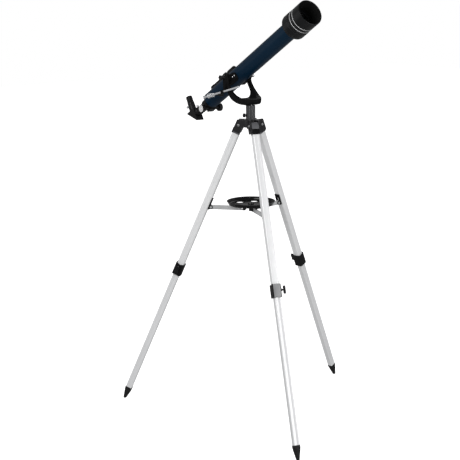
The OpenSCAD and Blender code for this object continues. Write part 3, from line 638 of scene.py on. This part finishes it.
def tube_between(bm, outer, inner, z0, z1):
    """Adds a hollow bar along Z from its outer and inner outlines, with flat ends."""
    rings = [[bm.verts.new((x, y, z)) for x, y in loop] for loop in (outer, inner) for z in (z0, z1)]
    lo_out, hi_out, lo_in, hi_in = rings
    for lo, hi, rev in ((lo_out, hi_out, False), (lo_in, hi_in, True)):
        n = len(lo)
        for i in range(n):
            j = (i + 1) % n
            quad = (lo[i], lo[j], hi[j], hi[i])
            bm.faces.new(tuple(reversed(quad)) if rev else quad)
    for out_ring, in_ring in ((lo_out, lo_in), (hi_out, hi_in)):
        edges = []
        for ring in (out_ring, in_ring):
            n = len(ring)
            for i in range(n):
                edges.append(bm.edges.get((ring[i], ring[(i + 1) % n])))
        bmesh.ops.triangle_fill(bm, use_beauty=True, edges=edges)


for i in (1, 2, 3):
    leg = leg_place(i)
    bm = bmesh.new()
    barrel = LEG_X / 2
    outer, inner = section(LEG_X, LEG_Y, 4, LEG_WALL, 0.45)
    tube_between(bm, outer, inner, -CLAMP + RAIL_END, -barrel)
    cap = [(barrel, -barrel - 0.15)] + arc(0, 0, barrel, 0, 180, 28) + [(-barrel, -barrel - 0.15)]
    prism(bm, cap, -LEG_Y / 2, LEG_Y / 2)
    bmesh.ops.bisect_plane(bm, geom=bm.verts[:] + bm.edges[:] + bm.faces[:], plane_co=(0, 0, SADDLE_LOW),
                           plane_no=(0, 0, 1))
    for face in bm.faces:
        face.material_index = 1 if face.calc_center_median().z > SADDLE_LOW else 0
    piece(f"leg_rail_{i}", bm, leg, [LEG, CAP], f"upper_leg_{i}", bevel=0.4, segments=2)
    bm = bmesh.new()
    outer, inner = section(SLIM_X, SLIM_Y, 3, SLIM_WALL, 0.35)
    tube_between(bm, outer, inner, -FOOT_TOP - 6, -SLIM_TOP)
    piece(f"leg_slide_{i}", bm, leg, LEG_SLIM, f"lower_leg_{i}")

# ---------------------------------------------------------------- saddles and spreader brackets on the legs

# Middle of the bracket's plate, on the leg's inner face
BRACKET_X = -14.85

for i in (1, 2, 3):
    leg = leg_place(i)
    pin = leg.inverted() @ place(pivot(f"arm_{i}_turn"), axis(f"leg_{i}_fold").cross(UP), UP)
    lug = pin.translation.z
    bm = bmesh.new()
    prism(bm, [(9.25, 12.5)] + arc(9.25, 8.5, 4, 90, 0, 6) + arc(9.25, -8.5, 4, 0, -90, 6)
          + [(14.6, -12.5), (15.75, -11.4), (15.75, 11.4), (14.6, 12.5)], SADDLE_LOW, -15, flip=True)
    for side in (-1, 1):
        prism(bm, rounded_rect(2.8, 9.2, 1.2), lug - 10, lug + 32, flip=True,
              local=shift(BRACKET_X, 7.2 * side))
        ear = arc(0, 0, 6.2, 95, 265, 16) + [(11.4, -10), (3.6, 10)]
        prism(bm, ear, 2.4 * side, 6 * side, local=pin)
    prism(bm, rounded_rect(2.8, 9, 0.6), lug + 19, lug + 32, flip=True, local=shift(BRACKET_X))
    for side in (-1, 1):
        start = len(bm.faces)
        head = [(0, 5.9 * side), (4.5, 5.9 * side), (4.5, 7.2 * side), (3.9, 7.9 * side), (0, 8 * side)]
        lathe(bm, head, 40, closed=False, along="Y", local=pin)
        bm.faces.ensure_lookup_table()
        for face in bm.faces[start:]:
            face.material_index = 1
    lathe(bm, [(0, -5.9), (2, -5.9), (2, 5.9), (0, 5.9)], 24, closed=False, along="Y", local=pin)
    piece(f"leg_bracket_{i}", bm, leg, [CAST, CHROME], f"leg_fittings_{i}", bevel=0.4, segments=2)

# ---------------------------------------------------------------- clamps and their screws

SCREW_Z = -CLAMP + 3
# Faces of the clamp further out than this carry its pale plate
CLAMP_PLATE_X = 16.5

for i in (1, 2, 3):
    leg = leg_place(i)
    bm = bmesh.new()
    prism(bm, rounded_rect(LEG_X + 7.5, LEG_Y + 8, 5), -CLAMP - 23, -CLAMP + 24, flip=True)
    shell = solid_object("clamp_work", bm)
    cuts = []
    bm = bmesh.new()
    prism(bm, rounded_rect(LEG_X + 0.06, LEG_Y + 0.06, 4), -CLAMP + RAIL_END, -CLAMP + 60, flip=True)
    cuts.append(solid_object("rail_work", bm))
    bm = bmesh.new()
    prism(bm, rounded_rect(SLIM_X + 0.8, SLIM_Y + 0.8, 3), -CLAMP - 30, -CLAMP + 30, flip=True)
    cuts.append(solid_object("slide_work", bm))
    bm = bmesh.new()
    lathe(bm, [(0, -40), (17, -40), (17, 40), (0, 40)], 96, closed=False, along="Y",
          local=shift(0, 0, -CLAMP + 37))
    cuts.append(solid_object("rim_work", bm))
    boss = bmesh.new()
    lathe(boss, [(0, 13), (7, 13), (7, 18.9), (6.6, 19.5), (0, 19.5)], 48, closed=False, along="Y",
          local=shift(0, 0, SCREW_Z))
    boss = solid_object("boss_work", boss)
    boolean(shell, boss, "UNION")
    bm = bmesh.new()
    lathe(bm, [(0, 5), (2.6, 5), (2.6, 30), (0, 30)], 32, closed=False, along="Y", local=shift(0, 0, SCREW_Z))
    cuts.append(solid_object("screw_work", bm))
    for cut in cuts:
        boolean(shell, cut, "DIFFERENCE")
    bm = applied(shell)
    discard(boss, *cuts)
    clamp = piece(f"clamp_shell_{i}", bm, leg, [SHELL, CLAMP_FACE], f"leg_clamp_{i}", bevel=0.7, sharp=30)
    outward = (leg.to_3x3() @ Vector((1, 0, 0))).normalized()
    for face in clamp.data.polygons:
        if face.normal.dot(outward) > 0.98 and (leg.inverted() @ face.center).x > CLAMP_PLATE_X:
            face.material_index = 1

for i in (1, 2, 3):
    screw = leg_place(i) @ shift(0, 0, SCREW_Z) @ turn(-90, "X")
    bm = bmesh.new()
    lathe(bm, [(0, 11.7), (2.54, 11.7), (2.54, 21.5), (4.6, 21.5), (5, 22), (5, 22.8), (4.4, 23.4),
          (3.0, 24.4), (2.8, 27), (3.4, 29.6), (0, 29.6)], 48, closed=False, along="Z")
    wing = []
    for k in range(64):
        a = 2 * math.pi * k / 64
        reach = 5.4 + 9.4 * abs(math.cos(a)) ** 1.6
        wing.append((reach * math.cos(a) * 0.99, reach * math.sin(a) * 0.72))
    prism(bm, wing, 28.6, 35.4, flip=True, local=turn(90, "Z"))
    piece(f"clamp_wing_{i}", bm, screw, GRIP, f"clamp_screw_{i}", bevel=1.4, segments=4)

# ---------------------------------------------------------------- tray

bm = bmesh.new()
profile = [(0, 788), (79.6, 788), (81, 788.5), (82, 789.8), (86.6, 799), (87.4, 800.1), (88.8, 800.5),
           (89, 801), (88.9, 801.7), (88.2, 802), (86.4, 802), (85.7, 801.7), (85.2, 801),
           (81.6, 793.4), (80.6, 791), (79.2, 790.2), (77.4, 790), (11.5, 790), (11, 790.6),
           (11, 794.2), (10.4, 795), (0, 795)]
lathe(bm, profile, 144, closed=False, along="Z")
dish = solid_object("dish_work", bm)
bm = bmesh.new()
first_leg = math.degrees(math.atan2(pivot("leg_1_fold").y, pivot("leg_1_fold").x))
for k in range(6):
    spot = turn(first_leg + 60 * (k + 0.5), "Z") @ shift(55)
    lathe(bm, [(0, 786), (13, 786), (13, 792), (0, 792)], 64, closed=False, along="Z", local=spot)
holes = solid_object("hole_work", bm)
boolean(dish, holes, "DIFFERENCE")
bm = applied(dish)
discard(holes)
piece("tray_dish", bm, SPINDLE, TRAY, "accessory_tray", sharp=40)

# ---------------------------------------------------------------- floor, light and camera

floor_mesh = bpy.data.meshes.new("floor")
reach = 14
corners = [(-reach, -reach, 0), (reach, -reach, 0), (reach, reach, 0), (-reach, reach, 0)]
floor_mesh.from_pydata(corners, [], [(0, 1, 2, 3)])
floor = bpy.data.objects.new("floor", floor_mesh)
bpy.context.scene.collection.objects.link(floor)
white = bpy.data.materials.new("studio_floor")
white.use_nodes = True
bsdf = white.node_tree.nodes["Principled BSDF"]
bsdf.inputs["Base Color"].default_value = (0.93, 0.93, 0.93, 1)
bsdf.inputs["Roughness"].default_value = 0.9
bsdf.inputs["Emission Color"].default_value = (1, 1, 1, 1)
bsdf.inputs["Emission Strength"].default_value = 0.8
floor.visible_glossy = False
floor.visible_diffuse = False
floor_mesh.materials.append(white)

world = bpy.data.worlds.new("studio")
bpy.context.scene.world = world
world.use_nodes = True
tree = world.node_tree
background = tree.nodes["Background"]
background.inputs["Color"].default_value = (1, 1, 1, 1)
path = tree.nodes.new("ShaderNodeLightPath")


def strength_for(ray, strength):
    """A switch that gives this strength to one kind of ray, and its To Min to every other."""
    switch = tree.nodes.new("ShaderNodeMapRange")
    tree.links.new(path.outputs[ray], switch.inputs["Value"])
    switch.inputs["To Max"].default_value = strength
    return switch


glossy = strength_for("Is Glossy Ray", 0.22)
glossy.inputs["To Min"].default_value = 0.58
seen = strength_for("Is Camera Ray", 1.0)
tree.links.new(glossy.outputs[0], seen.inputs["To Min"])
tree.links.new(seen.outputs[0], background.inputs["Strength"])


def area(name, where, aim, size, power):
    light = bpy.data.lights.new(name, "AREA")
    light.shape = "RECTANGLE"
    light.size, light.size_y = size
    light.energy = power
    obj = bpy.data.objects.new(name, light)
    obj.location = where
    obj.rotation_euler = (Vector(aim) - Vector(where)).to_track_quat("-Z", "Y").to_euler()
    bpy.context.scene.collection.objects.link(obj)


area("key", (0.95, -2.75, 2.4), (0, 0, 0.9), (1.5, 1.5), 41)
area("fill", (3.6, 1.0, 1.5), (0, 0, 0.7), (1.8, 1.8), 42)
area("left", (-1.6, -2.2, 1.2), (0, 0, 0.6), (1.6, 1.8), 3)
area("rim", (-1.4, 1.6, 2.6), (0, 0, 0.9), (1.4, 1.2), 9)

EYE_POINT = Vector((3.1476, -2.3719, 1.5534))
LOOK = Vector((-0.7917, 0.5725, -0.2134)).normalized()
ROLL = math.radians(-0.46)
side = LOOK.cross(UP).normalized()
head = side.cross(LOOK)
right = side * math.cos(ROLL) + head * math.sin(ROLL)
above = head * math.cos(ROLL) - side * math.sin(ROLL)
camera_data = bpy.data.cameras.new("camera")
camera_data.lens = 85.8
camera_data.sensor_width = 36
camera_data.clip_end = 60
camera = bpy.data.objects.new("camera", camera_data)
camera.matrix_world = Matrix.Translation(EYE_POINT) @ Matrix((right, above, -LOOK)).transposed().to_4x4()
bpy.context.scene.collection.objects.link(camera)
bpy.context.scene.camera = camera
bpy.context.scene.view_settings.view_transform = "Standard"
